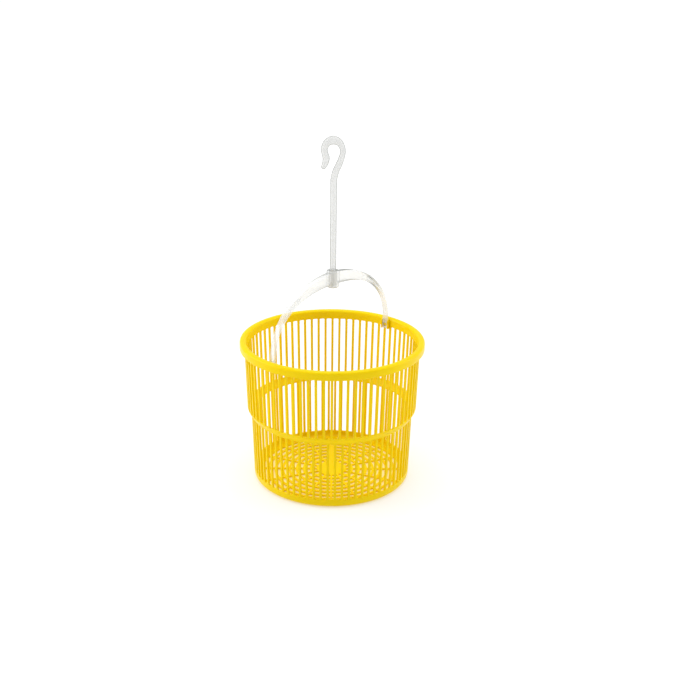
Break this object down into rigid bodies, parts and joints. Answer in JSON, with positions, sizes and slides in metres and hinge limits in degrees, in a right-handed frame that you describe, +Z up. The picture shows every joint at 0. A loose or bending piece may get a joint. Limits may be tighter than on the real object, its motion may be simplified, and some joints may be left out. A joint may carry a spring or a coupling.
{
  "type": "peg basket",
  "caption": "Round slatted plastic basket for laundry pegs, with a clip-in arched handle and a hook that turns in its crown to hang on a line.",
  "frame": {"origin": "centre of the basket, on the surface that its foot ring stands on", "axes": "+Z up along the basket and the hook's rod; the hook's loop lies in the XZ plane and opens towards -X; the handle stands across the basket at 48.5 degrees from +X towards +Y"},
  "size_m": [0.1834, 0.1834, 0.3458],
  "materials": {
    "basket": "semi-gloss moulded yellow polypropylene",
    "handle": "clear moulded polystyrene, polished",
    "hook": "clear moulded polystyrene, polished"
  },
  "bodies": {
    "basket": {"basket": "basket", "handle": "handle"},
    "hook": {"hook": "hook"}
  },
  "joints": [
    {"name": "hook_swivel", "type": "hinge", "parent": "basket", "child": "hook", "pos_m": [0, 0, 0.2078], "axis": [0, 0, 1], "continuous": true}
  ]
}
